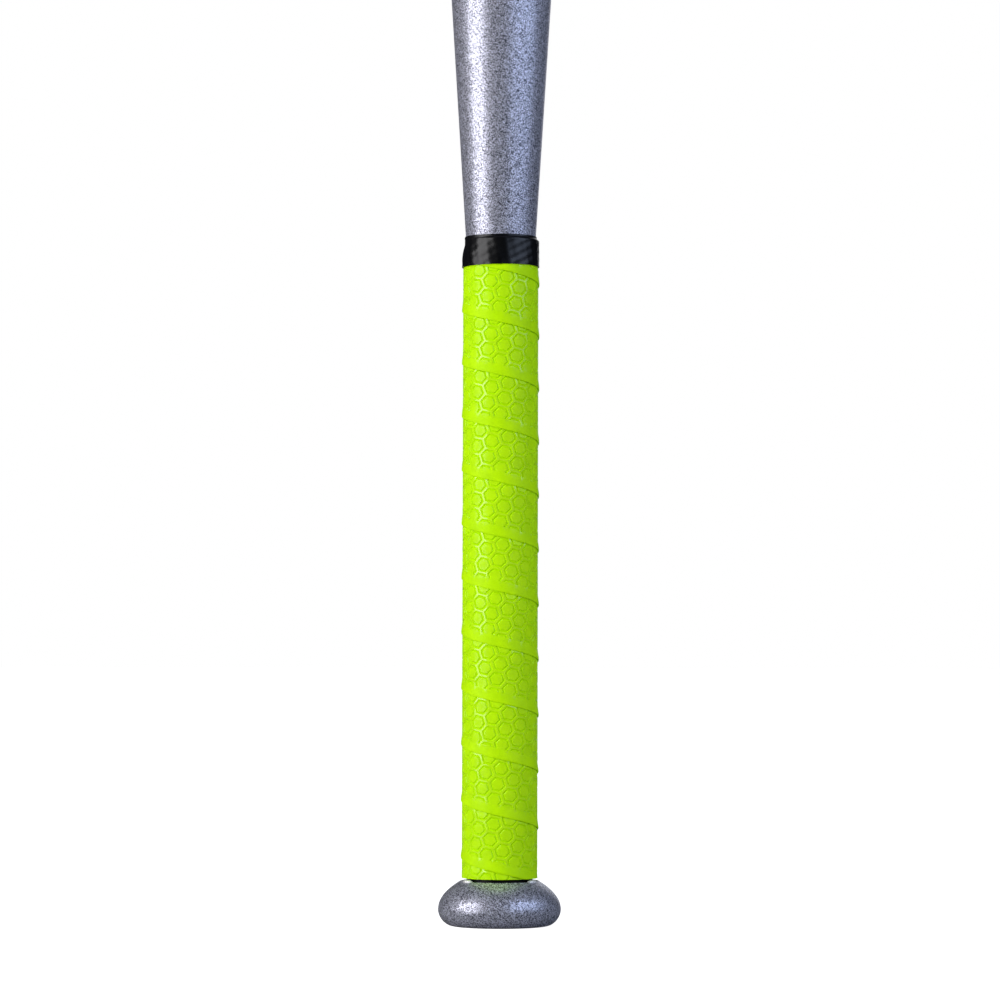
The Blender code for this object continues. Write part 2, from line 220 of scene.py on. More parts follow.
def skin(grid, loops=False):
    """Points and faces over a grid whose columns close into rings, as do its rows if it loops.

    A row whose points all meet becomes one vertex, with triangles in place of the quads beside it.
    """
    rows, columns = grid.shape[:2]
    number = np.arange(rows * columns).reshape(rows, columns)
    meeting = np.ptp(grid, axis=1).max(axis=1) < 1e-9
    number[meeting] = number[meeting][:, :1]
    below = number if loops else number[:-1]
    above = np.roll(number, -1, axis=0) if loops else number[1:]
    quads = np.stack([below, np.roll(below, -1, 1), np.roll(above, -1, 1), above], axis=-1)
    used, quads = np.unique(quads.reshape(-1, 4), return_inverse=True)
    quads = quads.reshape(-1, 4)
    fan_below = quads[:, 0] == quads[:, 1]
    fan_above = quads[:, 2] == quads[:, 3]
    faces = quads[~fan_below & ~fan_above].tolist()
    faces += quads[fan_below][:, [0, 2, 3]].tolist()
    faces += quads[fan_above][:, [0, 1, 2]].tolist()
    return grid.reshape(-1, 3)[used], faces


def full_circle(sides):
    """This many equally spaced angles round the bat."""
    return np.arange(sides) * 2 * np.pi / sides


def turned(outline, sides=SIDES):
    """The grid of a turned shape: every point (r, z) of the outline carried round the bat's axis.

    An outline runs up the outside and down the inside, or from the axis outwards, up and back.
    """
    angle = full_circle(sides)
    r, z = outline[:, :1], outline[:, 1:]
    return np.stack([r * np.cos(angle), r * np.sin(angle), z + 0 * angle], axis=-1)


def arc(centre_r, centre_z, half_width, half_height, start, end, steps):
    """Points (r, z) on an ellipse from angle start to end, in degrees, 0 pointing outwards."""
    angle = np.radians(np.linspace(start, end, steps + 1))
    r = centre_r + half_width * np.cos(angle)
    z = centre_z + half_height * np.sin(angle)
    return np.stack([r, z], axis=-1)


def blended_rise(z, start, half_width):
    """Height above start of a line of slope 1 that eases in over start +- half_width."""
    past = z - start
    easing = (past + half_width) ** 2 / (4 * half_width)
    return np.where(past <= -half_width, 0, np.where(past >= half_width, past, easing))


def shell_radius(z):
    """Outer radius at height z: handle, straight taper, then barrel, a parabola at each change."""
    rise = blended_rise(z, TAPER_START, LOWER_BLEND) - blended_rise(z, TAPER_END, UPPER_BLEND)
    return HANDLE_RADIUS + TAPER_SLOPE * rise


def shell_outline():
    """Up the outside, over the rolled lip and down the bore, the wall thinner at the barrel."""
    z = np.linspace(SHELL_FOOT, LIP_CENTRE_Z, 150)
    outside = np.stack([shell_radius(z), z], axis=-1)
    lip = arc(LIP_OPENING, LIP_CENTRE_Z, LIP_BEND, LIP_BEND, 6, 90, 14)
    inner_bend = LIP_BEND - BARREL_WALL
    under_lip = arc(LIP_OPENING, LIP_CENTRE_Z, inner_bend, inner_bend, 90, 12, 10)
    down = z[::-3]
    share = (shell_radius(down) - HANDLE_RADIUS) / (BARREL_RADIUS - HANDLE_RADIUS)
    wall = HANDLE_WALL + (BARREL_WALL - HANDLE_WALL) * share
    inside = np.stack([shell_radius(down) - wall, down], axis=-1)
    return np.concatenate([outside, lip, under_lip, inside])


def new_group(name, inputs, outputs):
    """A shader node group with these sockets, and what its input node gives the others."""
    group = bpy.data.node_groups.new(name, "ShaderNodeTree")
    for socket, value in inputs.items():
        made = group.interface.new_socket(socket, in_out="INPUT", socket_type="NodeSocketFloat")
        made.default_value = value
    for socket, kind in outputs.items():
        group.interface.new_socket(socket, in_out="OUTPUT", socket_type=kind)
    return group, group.nodes.new("NodeGroupInput").outputs


def add_texture(tree, kind, scale, **inputs):
    """A noise or cell texture in the object's own coordinates, scale features to the metre."""
    place = add_node(tree, "TexCoord").outputs["Object"]
    return add_node(tree, kind, {"Vector": place, "Scale": scale, **inputs})


def make_flake_group():
    """Metal flakes, one to each Voronoi cell of fine flakes and of looser clusters.

    Shade is the cells' random number, and Normal is the surface's own, tilted by each cell's
    random direction. Spread is how far a flake leans.
    """
    outputs = {"Shade": "NodeSocketFloat", "Normal": "NodeSocketVector"}
    inputs = {"Flakes per metre": 2000.0, "Spread": 0.3}
    group, given = new_group("metal_flake", inputs, outputs)
    per_metre = given["Flakes per metre"]
    fewer = add_node(group, "Math", {0: per_metre, 1: LOOSE_SHARE}, operation="MULTIPLY")
    fine = add_texture(group, "TexVoronoi", per_metre, Randomness=1.0)
    loose = add_texture(group, "TexVoronoi", fewer.outputs[0], Randomness=1.0)
    both = add_mix(group, LOOSE_WEIGHT, fine.outputs["Color"], loose.outputs["Color"])
    lean = add_node(group, "VectorMath", {0: both, 1: (0.5, 0.5, 0.5)}, operation="SUBTRACT")
    scaled = {0: lean.outputs[0], 3: given["Spread"]}
    leaning = add_node(group, "VectorMath", scaled, operation="SCALE")
    upright = add_node(group, "NewGeometry").outputs["Normal"]
    summed = add_node(group, "VectorMath", {0: upright, 1: leaning.outputs[0]}, operation="ADD")
    normal = add_node(group, "VectorMath", {0: summed.outputs[0]}, operation="NORMALIZE")
    shade = add_node(group, "SeparateColor", {0: both}).outputs["Red"]
    add_node(group, "NodeGroupOutput", {"Shade": shade, "Normal": normal.outputs[0]})
    return group


def make_mottle_group():
    """A soft cloud of noise, spread between Low and High, for a finish that is never quite even."""
    inputs = {"Clouds per metre": 60.0, "Low": 0.0, "High": 1.0}
    group, given = new_group("mottle", inputs, {"Value": "NodeSocketFloat"})
    cloud = add_texture(group, "TexNoise", given["Clouds per metre"], Detail=4.0, Roughness=0.55)
    limits = {1: 0.3, 2: 0.7, 3: given["Low"], 4: given["High"]}
    spread = add_node(group, "MapRange", {0: cloud.outputs[0], **limits})
    add_node(group, "NodeGroupOutput", {"Value": spread.outputs[0]})
    return group


metal_flake = make_flake_group()
mottle = make_mottle_group()


def new_finish(name, **fixed):
    """A Principled material whose uniform values are set on its own sockets."""
    finish = bpy.data.materials.new(name)
    finish.use_nodes = True
    shader = finish.node_tree.nodes["Principled BSDF"]
    for socket, value in fixed.items():
        shader.inputs[socket.replace("_", " ")].default_value = value
    return finish, finish.node_tree, shader


def add_group(tree, group, *values):
    """A node group placed in a material with these input values, as its outputs."""
    made = add_node(tree, "Group", node_tree=group)
    for socket, value in zip(made.inputs, values):
        socket.default_value = value
    return made.outputs


def add_mottle(tree, per_metre, low, high):
    """The mottle group placed in a material, as a value between low and high."""
    return add_group(tree, mottle, per_metre, low, high)["Value"]


def add_ramp(tree, value, stops):
    """A colour ramp between two (position, colour) stops."""
    ramp = add_node(tree, "ValToRGB", {0: value})
    for element, (position, colour) in zip(ramp.color_ramp.elements, stops):
        element.position = position
        element.color = colour
    return ramp.outputs[0]


def add_bump(tree, height, distance, strength=1.0):
    """The surface's normal over a relief of this height, distance deep."""
    inputs = {"Height": height, "Distance": distance, "Strength": strength}
    return add_node(tree, "Bump", inputs).outputs[0]


def link(tree, output, shader, socket):
    """Links a node's output to the shader's socket of this name."""
    tree.links.new(output, shader.inputs[socket])


def cloud_colour(tree, shader, per_metre, dark, light, start=0.0):
    """A base colour that drifts from dark to light with a mottle."""
    cloud = add_mottle(tree, per_metre, 0.0, 1.0)
    link(tree, add_ramp(tree, cloud, [(start, dark), (1.0, light)]), shader, "Base Color")


def groove_shade_mask(tree):
    """1 in the weld groove under the grip's edge, painted shade there, 0 elsewhere."""
    place = add_node(tree, "TexCoord").outputs["Object"]
    level = add_node(tree, "VectorMath", {0: place, 1: (1, 1, 0)}, operation="MULTIPLY")
    radius = add_node(tree, "VectorMath", {0: level.outputs[0]}, operation="LENGTH")
    height = add_node(tree, "SeparateXYZ", {0: place})
    near = add_node(tree, "MapRange", {0: radius.outputs["Value"], 1: SHADE_FADE_RADIUS, 2: SHADE_FULL_RADIUS})
    low = add_node(tree, "MapRange", {0: height.outputs["Z"], 1: SHADE_TOP, 2: SHADE_FOOT})
    both = {0: near.outputs[0], 1: low.outputs[0]}
    return add_node(tree, "Math", both, operation="MULTIPLY").outputs[0]


def make_silver_paint():
    """Silver flake under a thin clear coat, each flake with its own shade and lean."""
    finish, tree, shader = new_finish(
        "silver_flake_paint", Metallic=0.66, Coat_Roughness=0.2, Coat_Weight=0.1
    )
    flakes = add_group(tree, metal_flake, 4200.0, 0.22)
    drift = add_mottle(tree, 25.0, -0.015, 0.015)
    shade = add_node(tree, "Math", {0: flakes["Shade"], 1: drift}, operation="ADD")
    colour = add_ramp(tree, shade.outputs[0], [(0.24, PAINT_DARK), (0.76, PAINT_LIGHT)])
    # Painted shade: the base colour turns almost black in the weld groove under the grip's edge.
    link(tree, add_mix(tree, groove_shade_mask(tree), colour, GROOVE_SHADE), shader, "Base Color")
    link(tree, add_mottle(tree, 40.0, 0.35, 0.38), shader, "Roughness")
    link(tree, flakes["Normal"], shader, "Normal")
    return finish


silver_paint = make_silver_paint()
shell_skin = skin(turned(shell_outline()), loops=True)
add_piece("swaged_shell", *shell_skin, silver_paint, "bat_shell", "silver_paint")

# ---------------------------------------------------------------- knob
# The knob is turned from a forged aluminium blank, slipped over the handle and welded on, then
# painted with the shell. A shallow groove round its top takes the tack welds.
KNOB_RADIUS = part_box("knob")[1].x
KNOB_WIDEST_Z = 0.0064
CROWN_FALL = 0.0091
CROWN_RISE = 0.0116
CROWN_POWER = 2.13
HEEL_CENTRE_R = 0.0188
HEEL_POWER = 1.83
KNOB_BORE = HANDLE_RADIUS + FIT_GAP
RECESS_RADIUS = 0.0160
RECESS_DEPTH = 0.0045
GROOVE_FOOT_Z = 0.0160
GROOVE_RADIUS = 0.0156


def rounded(corners, bend, closed=True, steps=4):
    """An outline (r, z) through these corners, each cut back by its bend and joined by a parabola.

    A bend is never more than 0.45 of the side next to it. An open outline keeps its two ends.
    """
    corners = np.array(corners, float)
    before = np.roll(corners, 1, axis=0) - corners
    after = np.roll(corners, -1, axis=0) - corners
    length_before = np.linalg.norm(before, axis=1)
    length_after = np.linalg.norm(after, axis=1)
    cut = np.minimum(bend, 0.45 * np.minimum(length_before, length_after))
    if not closed:
        cut[[0, -1]] = 0
    start = corners + before * (cut / length_before)[:, None]
    end = corners + after * (cut / length_after)[:, None]
    t = np.linspace(0, 1, steps + 1)[:, None]
    curve = (1 - t) ** 2 * start[:, None] + 2 * t * (1 - t) * corners[:, None] + t**2 * end[:, None]
    outline = curve.reshape(-1, 2)
    moved = np.linalg.norm(np.diff(outline, axis=0, append=outline[:1]), axis=1) > 1e-7
    if not closed:
        moved[-1] = True
    return outline[moved]


def knob_outline():
    """Base, heel, crown, groove and bore.

    The heel is a quarter of a superellipse, and the crown falls away from the widest level with
    a power of its height.
    """
    turn = np.radians(np.linspace(90, 0, 22))
    heel_r = HEEL_CENTRE_R + (KNOB_RADIUS - HEEL_CENTRE_R) * np.cos(turn) ** (2 / HEEL_POWER)
    heel_z = KNOB_WIDEST_Z * (1 - np.sin(turn) ** (2 / HEEL_POWER))
    heel = np.stack([heel_r, heel_z], axis=-1)
    groove_share = ((KNOB_RADIUS - GROOVE_RADIUS) / CROWN_FALL) ** (1 / CROWN_POWER)
    share = np.linspace(0, groove_share - 0.02, 32)[1:]
    crown_r = KNOB_RADIUS - CROWN_FALL * share**CROWN_POWER
    crown = np.stack([crown_r, KNOB_WIDEST_Z + CROWN_RISE * share], axis=-1)
    groove_top = KNOB_WIDEST_Z + CROWN_RISE * groove_share
    inside = rounded(
        [
            crown[-1],
            (GROOVE_RADIUS, groove_top),
            (KNOB_BORE + 0.0004, GROOVE_FOOT_Z),
            (KNOB_BORE, GROOVE_FOOT_Z),
            (KNOB_BORE, RECESS_DEPTH),
            (RECESS_RADIUS, RECESS_DEPTH),
            (RECESS_RADIUS, 0.0),
            heel[0],
        ],
        0.0004,
        closed=False,
    )
    return np.concatenate([heel, crown[:-1], inside[:-1]])


knob_skin = skin(turned(knob_outline()), loops=True)
add_piece("turned_knob", *knob_skin, silver_paint, "knob", "silver_paint")

# ---------------------------------------------------------------- tack welds
# Three short beads in the groove hold the knob square while its root is welded. Each is a row of
# overlapping puddles of filler, left bright under a clear lacquer.
TACK_AZIMUTHS = (-147, -31, 90)
TACK_HALF_ANGLE = 11.5
TACK_FOOT_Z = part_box("knob_tack_weld_1")[0].z
TACK_TOP_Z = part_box("knob_tack_weld_1")[1].z
TACK_WIDTH = 0.0028
TACK_GAP = 0.00015
PUDDLES = 5
PUDDLE_DIP = 0.12


def puddle(along):
    """The height of overlapping weld puddles: round tops that meet in sharp hollows."""
    return np.abs(np.cos(np.pi * along)) ** 0.6


def tack_grid(azimuth):
    """Rings of an oval bead that follow the groove, thinning to a point at both ends.

    A ring's size is the root of 1 - along squared, and it dips between puddles by an eighth.
    """
    along = np.linspace(-1, 1, 61)[:, None]
    full = np.sqrt(1 - along**2)
    size = full * (1 - PUDDLE_DIP * (1 - puddle(PUDDLES * along / 2)))
    around = np.linspace(0, 2 * np.pi, 24, endpoint=False)
    middle_r = KNOB_BORE + TACK_GAP + TACK_WIDTH / 2
    middle_z = (TACK_FOOT_Z + TACK_TOP_Z) / 2
    half_height = (TACK_TOP_Z - TACK_FOOT_Z) / 2
    r = middle_r + TACK_WIDTH / 2 * size * np.cos(around)
    z = middle_z + half_height * size * np.sin(around)
    angle = np.radians(azimuth - TACK_HALF_ANGLE * along)
    return np.stack([r * np.cos(angle), r * np.sin(angle), z], axis=-1)


def make_weld_metal():
    """Lacquered bright filler with fine solidification ripples and a faint straw tint."""
    finish, tree, shader = new_finish(
        "weld_bead_metal", Metallic=0.35, Coat_Weight=1.0, Coat_Roughness=0.08
    )
    flakes = add_group(tree, metal_flake, 3200.0, 0.35)
    cloud_colour(tree, shader, 700.0, (0.74, 0.73, 0.70, 1), (0.90, 0.90, 0.92, 1))
    link(tree, add_mottle(tree, 900.0, 0.16, 0.34), shader, "Roughness")
    link(tree, flakes["Normal"], shader, "Normal")
    return finish


weld_metal = make_weld_metal()
for number, azimuth in enumerate(TACK_AZIMUTHS, start=1):
    tack_skin = skin(tack_grid(azimuth))
    replaced = f"knob_tack_weld_{number}"
    add_piece(f"tack_bead_{number}", *tack_skin, weld_metal, replaced, "bare_weld")

# ---------------------------------------------------------------- root weld
# The weld that carries the load runs all round the tube's foot, inside the knob's recess, where
# the plug then hides it.
ROOT_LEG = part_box("knob_root_weld")[1].x - KNOB_BORE
ROOT_TOP_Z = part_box("knob_root_weld")[1].z
ROOT_FOOT_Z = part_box("knob_root_weld")[0].z
ROOT_PUDDLES = 64
ROOT_DIP = 0.14


def root_bead_grid():
    """A three-sided fillet carried round the tube, drawn in to its corner at each puddle's end."""
    depth = ROOT_TOP_Z - ROOT_FOOT_Z
    section = rounded(
        [
            (KNOB_BORE, ROOT_FOOT_Z),
            (KNOB_BORE + 0.55 * ROOT_LEG, ROOT_FOOT_Z + 0.20 * depth),
            (KNOB_BORE + ROOT_LEG, ROOT_TOP_Z),
            (KNOB_BORE, ROOT_TOP_Z),
        ],
        0.0003,
    )
    grid = turned(section, sides=ROOT_PUDDLES * 6)
    angle = np.linspace(0, ROOT_PUDDLES, grid.shape[1], endpoint=False)
    size = 1 - ROOT_DIP * (1 - puddle(angle))
    corner = turned(np.array([[KNOB_BORE, ROOT_TOP_Z]]), sides=grid.shape[1])
    return corner + (grid - corner) * size[:, None]


root_skin = skin(root_bead_grid(), loops=True)
add_piece("root_bead", *root_skin, weld_metal, "knob_root_weld", "bare_weld")

# ---------------------------------------------------------------- knob plug
# A nylon disc closes the recess. Its hollow stem has two barbs that grip the inside of the tube,
# and its face is spark-textured, with a rim, a ring and the scar of the moulding gate.
PLUG_FLOOR_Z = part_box("knob_plug")[0].z
PLUG_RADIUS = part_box("knob_plug")[1].x
PLUG_TOP_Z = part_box("knob_plug")[1].z
PLUG_DISC = 0.0020
PLUG_STEM_WALL = 0.0018
PLUG_BARB = 0.0004


def plug_outline():
    """From the gate scar out over the face's rings, up the disc and stem, and down the bore."""
    floor = PLUG_FLOOR_Z
    disc_top = floor + PLUG_DISC
    barb_r = HANDLE_BORE - FIT_GAP
    stem_bore = barb_r - PLUG_STEM_WALL
    hollow = floor + 0.0004
    ring = (0.0100, 0.0108)
    rim = PLUG_RADIUS - 0.0016
    low_barb, high_barb = (floor + share * (PLUG_TOP_Z - floor) for share in (0.5, 0.71))
    return rounded(
        [
            (0.0, floor + 0.0002),
            (0.0008, floor + 0.0002),
            (0.0010, hollow),
            (ring[0] - 0.0003, hollow),
            (ring[0], floor + 0.0001),
            (ring[1], floor + 0.0001),
            (ring[1] + 0.0003, hollow),
            (rim - 0.0003, hollow),
            (rim, floor),
            (PLUG_RADIUS, floor),
            (PLUG_RADIUS, disc_top),
            (barb_r - PLUG_BARB, disc_top),
            (barb_r - PLUG_BARB, low_barb),
            (barb_r, low_barb + PLUG_BARB),
            (barb_r - PLUG_BARB, high_barb - PLUG_BARB),
            (barb_r, high_barb + PLUG_BARB),
            (barb_r - 2 * PLUG_BARB, PLUG_TOP_Z),
            (stem_bore, PLUG_TOP_Z),
            (stem_bore, disc_top + PLUG_BARB),
            (0.0, disc_top + PLUG_BARB),
        ],
        0.00025,
        closed=False,
    )


def make_moulded_nylon():
    """Black nylon with a spark-eroded texture: small pits of uneven size under a satin sheen."""
    finish, tree, shader = new_finish("moulded_nylon", IOR=1.53)
    pits = add_texture(tree, "TexNoise", 2600.0, Detail=3.0)
    cloud_colour(tree, shader, 160.0, (0.014, 0.014, 0.015, 1), (0.026, 0.026, 0.028, 1))
    link(tree, add_mottle(tree, 300.0, 0.38, 0.52), shader, "Roughness")
    link(tree, add_bump(tree, pits.outputs[0], 0.00006, 0.7), shader, "Normal")
    return finish


moulded_nylon = make_moulded_nylon()
plug_skin = skin(turned(plug_outline()))
add_piece("barbed_knob_plug", *plug_skin, moulded_nylon, "knob_plug", "black_moulding")

# ---------------------------------------------------------------- handle damper
# A waisted rubber stopper is pressed up the handle, between the hands, to take the sting out of
# a mishit. Each sealing land carries two low ribs.
DAMPER_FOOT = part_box("handle_damper")[0].z
DAMPER_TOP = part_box("handle_damper")[1].z
DAMPER_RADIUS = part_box("handle_damper")[1].x
DAMPER_BEVEL = 0.0012
DAMPER_LAND = 0.0070
DAMPER_WAIST = 0.0012
WAIST_EASE = 0.0025
RIB_DEPTH = 0.00025
RIB_PITCH = 0.0023


def damper_outline():
    """A cylinder drawn in at its waist by a raised cosine, its lands ribbed by a second one."""
    z = np.linspace(DAMPER_FOOT + DAMPER_BEVEL, DAMPER_TOP - DAMPER_BEVEL, 120)
    from_end = np.minimum(z - DAMPER_FOOT, DAMPER_TOP - z)
    waist = np.clip((from_end - DAMPER_LAND) / WAIST_EASE, 0, 1)
    rib = np.where(waist > 0, 0, 1 - np.cos(2 * np.pi * from_end / RIB_PITCH)) / 2
    r = DAMPER_RADIUS - DAMPER_WAIST * (1 - np.cos(np.pi * waist)) / 2 - RIB_DEPTH * rib
    side = np.stack([r, z], axis=-1)
    foot = [(0.0, DAMPER_FOOT), (r[0] - 0.0010, DAMPER_FOOT)]
    head = [(r[-1] - 0.0010, DAMPER_TOP), (0.0, DAMPER_TOP)]
    return np.concatenate([foot, side, head])


def make_damper_rubber():
    """Matt black rubber with a dusting of the talc that it was pressed in with."""
    finish, tree, shader = new_finish("damper_rubber", Specular_IOR_Level=0.35)
    grain = add_texture(tree, "TexNoise", 1800.0)
    bare, talc = (0.020, 0.020, 0.021, 1), (0.085, 0.084, 0.080, 1)
    cloud_colour(tree, shader, 450.0, bare, talc, start=0.35)
    link(tree, add_mottle(tree, 450.0, 0.65, 0.85), shader, "Roughness")
    link(tree, add_bump(tree, grain.outputs[0], 0.00004), shader, "Normal")
    return finish


damper_skin = skin(turned(damper_outline(), sides=96))
add_piece("ribbed_damper", *damper_skin, make_damper_rubber(), "handle_damper", "damper_rubber")

# ---------------------------------------------------------------- barrel foam
# A disc of closed-cell foam, cut by hand a little out of true, dams the cap's adhesive and keeps
# the hollow barrel from ringing.
FOAM_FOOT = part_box("barrel_foam")[0].z
FOAM_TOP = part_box("barrel_foam")[1].z
FOAM_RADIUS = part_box("barrel_foam")[1].x
FOAM_BEND = 0.0020
FOAM_SIDES = 96
CUT_WAVER = 0.004  # of the radius


def foam_grid():
    """A puck with soft corners whose side swells and sinks with the cut, by two slow waves."""
    outline = rounded(
        [
            (0.0, FOAM_FOOT),
            (FOAM_RADIUS, FOAM_FOOT),
            (FOAM_RADIUS, (FOAM_FOOT + FOAM_TOP) / 2),
            (FOAM_RADIUS, FOAM_TOP),
            (0.0, FOAM_TOP),
        ],
        FOAM_BEND,
        closed=False,
        steps=6,
    )
    grid = turned(outline, sides=FOAM_SIDES)
    angle = full_circle(FOAM_SIDES)
    height = outline[:, 1:]
    wave = np.sin(5 * angle + 400 * height) + np.sin(11 * angle - 900 * height)
    grid[..., :2] *= (1 - CUT_WAVER * (2 + wave) / 2)[..., None]
    return grid


def make_foam():
    """Charcoal foam whose burst cells show as round pits of many sizes."""
    finish, tree, shader = new_finish("closed_cell_foam", Specular_IOR_Level=0.2)
    cells = add_texture(tree, "TexVoronoi", 900.0).outputs[0]
    # Painted shade: each pit's colour darkens towards its middle, where the bump sinks it deepest.
    pit_shade = add_ramp(tree, cells, [(0.0, (0.045, 0.045, 0.050, 1)), (0.7, (0.13, 0.13, 0.14, 1))])
    link(tree, pit_shade, shader, "Base Color")
    link(tree, add_mottle(tree, 200.0, 0.85, 0.98), shader, "Roughness")
    link(tree, add_bump(tree, cells, 0.0003), shader, "Normal")
    return finish


add_piece("cut_foam_dam", *skin(foam_grid()), make_foam(), "barrel_foam", "foam")

# ---------------------------------------------------------------- end cap
# The cap is moulded in the same nylon as the plug. Its neck snaps through the rolled lip, its
# barb holds it there, and its crown has a flat ring round a dished middle.
CAP_FLANGE_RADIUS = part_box("end_cap")[1].x
CAP_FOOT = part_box("end_cap")[0].z
CAP_EDGE_HEIGHT = 0.0046
CAP_EDGE_Z = BAT_LENGTH - CAP_EDGE_HEIGHT
CAP_FLAT_INNER, CAP_FLAT_OUTER = 0.0108, 0.0155
CAP_DISH = 0.0010
DISH_EASE = 0.0014
CAP_RINGS = (0.0082, 0.0074, 0.0066)
RING_WIDTH, RING_CUT = 0.00018, 0.00012
GATE_RADIUS, GATE_RISE = 0.0009, 0.0002
CAP_SKIRT_BORE = 0.0192
CAP_BARB_RADIUS = 0.0234
CAP_SEAT = LIP_BEND + FIT_GAP


def cap_outline():
    """Up the skirt, neck and barb, out along the lip's curve, over the crown and into the dish.

    The dish falls by a raised cosine, with three fine turned rings and the gate scar inside it.
    """
    neck_r = LIP_OPENING - FIT_GAP
    barb_z = LIP_CENTRE_Z + LIP_BEND - BARREL_WALL - 0.0009
    seat_angle = np.degrees(np.arccos((CAP_FLANGE_RADIUS - 0.0006 - LIP_OPENING) / CAP_SEAT))
    lower = rounded(
        [
            (0.0, CAP_EDGE_Z),
            (CAP_SKIRT_BORE, CAP_EDGE_Z),
            (CAP_SKIRT_BORE, CAP_FOOT),
            (neck_r - 0.0005, CAP_FOOT),
            (neck_r, CAP_FOOT + 0.0035),
            (CAP_BARB_RADIUS, barb_z - 0.0011),
            (CAP_BARB_RADIUS, barb_z),
            (neck_r, barb_z + 0.0005),
            (neck_r, LIP_CENTRE_Z + CAP_SEAT),
        ],
        0.0004,
        closed=False,
    )
    seat = arc(LIP_OPENING, LIP_CENTRE_Z, CAP_SEAT, CAP_SEAT, 88, seat_angle, 8)
    crown_width = CAP_FLANGE_RADIUS - CAP_FLAT_OUTER
    crown = arc(CAP_FLAT_OUTER, CAP_EDGE_Z, crown_width, CAP_EDGE_HEIGHT, 0, 90, 28)
    r = np.linspace(CAP_FLAT_INNER, 0, 110)
    dish_rim = np.clip((CAP_FLAT_INNER - r) / DISH_EASE, 0, 1)
    rings = np.sum([np.exp(-(((r - at) / RING_WIDTH) ** 2)) for at in CAP_RINGS], axis=0)
    gate = 1 / (1 + (r / GATE_RADIUS) ** 8)
    depth = CAP_DISH * (1 - np.cos(np.pi * dish_rim)) / 2 + RING_CUT * rings - GATE_RISE * gate
    dish = np.stack([r, BAT_LENGTH - depth], axis=-1)
    return np.concatenate([lower, seat, crown, dish])


cap_skin = skin(turned(cap_outline()))
add_piece("dished_end_cap", *cap_skin, moulded_nylon, "end_cap", "black_moulding")

# ---------------------------------------------------------------- end cap adhesive
# A bead of urethane is run round the barrel's mouth before the cap goes in, and the barb sets
# in it.
CAP_BEAD_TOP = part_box("end_cap_adhesive")[1].z
CAP_BEAD_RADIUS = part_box("end_cap_adhesive")[1].x
CAP_BEAD_WIDTH = 0.0030
BEAD_WAVER = 0.006  # of the radius
BEAD_SIDES = 120


def cap_bead_grid():
    """The squeezed bead carried round, its inner edge pushed in and out by three slow waves."""
    wall = CAP_BEAD_RADIUS
    section = rounded(
        [
            (wall - 0.0016, CAP_FOOT + 0.0008),
            (wall, CAP_FOOT + 0.0002),
            (wall, LIP_CENTRE_Z),
            (wall - 0.0006, CAP_BEAD_TOP - 0.0005),
            (wall - 0.0020, CAP_BEAD_TOP),
            (wall - 0.0022, CAP_BEAD_TOP - 0.0010),
            (wall - CAP_BEAD_WIDTH, CAP_FOOT + 0.0030),
        ],
        0.0005,
    )
    grid = turned(section, sides=BEAD_SIDES)
    angle = full_circle(BEAD_SIDES)
    wave = np.sin(7 * angle) + 0.6 * np.sin(13 * angle + 1) + 0.4 * np.sin(23 * angle + 2)
    inward = (wall - section[:, :1]) / CAP_BEAD_WIDTH
    grid[..., :2] *= (1 + BEAD_WAVER * inward * (wave / 2 - 0.2))[..., None]
    return grid


def make_urethane_glue():
    """Amber glue, glossy where it cooled in air and cloudy with fine bubbles."""
    finish, tree, shader = new_finish(
        "urethane_glue", Subsurface_Weight=0.3, Subsurface_Scale=0.001, IOR=1.5
    )
    bubbles = add_texture(tree, "TexVoronoi", 1600.0)
    cloud_colour(tree, shader, 500.0, (0.55, 0.44, 0.24, 1), (0.78, 0.72, 0.56, 1))
    link(tree, add_mottle(tree, 350.0, 0.2, 0.45), shader, "Roughness")
    link(tree, add_bump(tree, bubbles.outputs[0], 0.00005), shader, "Normal")
    return finish


urethane_glue = make_urethane_glue()
bead_skin = skin(cap_bead_grid(), loops=True)
add_piece("squeezed_cap_bead", *bead_skin, urethane_glue, "end_cap_adhesive", "adhesive")

# ---------------------------------------------------------------- grip adhesive
# A strip of transfer adhesive down the middle of the grip's back holds it to the tube. It is
# wound with the grip, left-handed up the handle.
LAYER_GAP = 0.0001
FILM_THICKNESS = 0.0002
FILM_WIDTH = 0.0120
FILM_TURNS = (0.0, 9.8)
FILM_WAVER = 0.0001
STRIP_WIDTH = 0.0262
WIND_FOOT = 0.0215
WIND_LEAD = 0.0227
WIND_LEAD_LOSS = 0.000085


def strip_foot(turn):
    """Height of the strip's lower edge so many turns above the front, its lead easing upwards."""
    return WIND_FOOT + WIND_LEAD * turn - WIND_LEAD_LOSS * turn**2


def lap(turn):
    """How far the strip at this turn goes over the strip a turn below it."""
    return strip_foot(turn - 1) + STRIP_WIDTH - strip_foot(turn)


def wound(turn, r, z):
    """Points at these turns round the bat, left-handed upwards, from the front of turn 0."""
    angle = -np.pi / 2 - 2 * np.pi * turn
    return np.stack([r * np.cos(angle), r * np.sin(angle), z + 0 * r], axis=-1)


def close_ends(grid):
    """The grid with its first and last rings gathered to a point in their middle."""
    first, last = (grid[[end]] * 0 + grid[end].mean(axis=0) for end in (0, -1))
    return np.concatenate([first, grid, last])


def film_grid():
    """A flat four-sided section wound up the handle, its edges wavering by a slow sine."""
    turn = np.linspace(*FILM_TURNS, 10 * 96)[:, None]
    middle = strip_foot(turn) + (STRIP_WIDTH + lap(turn)) / 2
    inner = HANDLE_RADIUS + LAYER_GAP
    outer = inner + FILM_THICKNESS
    low, high = np.array([-0.5, -0.5, 0.5, 0.5]), np.array([inner, outer, outer, inner])
    waver = FILM_WAVER * np.sin(40 * turn + 3 * low)
    return close_ends(wound(turn, high + 0 * turn, middle + FILM_WIDTH * low + waver))


film_skin = skin(film_grid())
add_piece("wound_glue_film", *film_skin, urethane_glue, "grip_adhesive_strip", "adhesive")

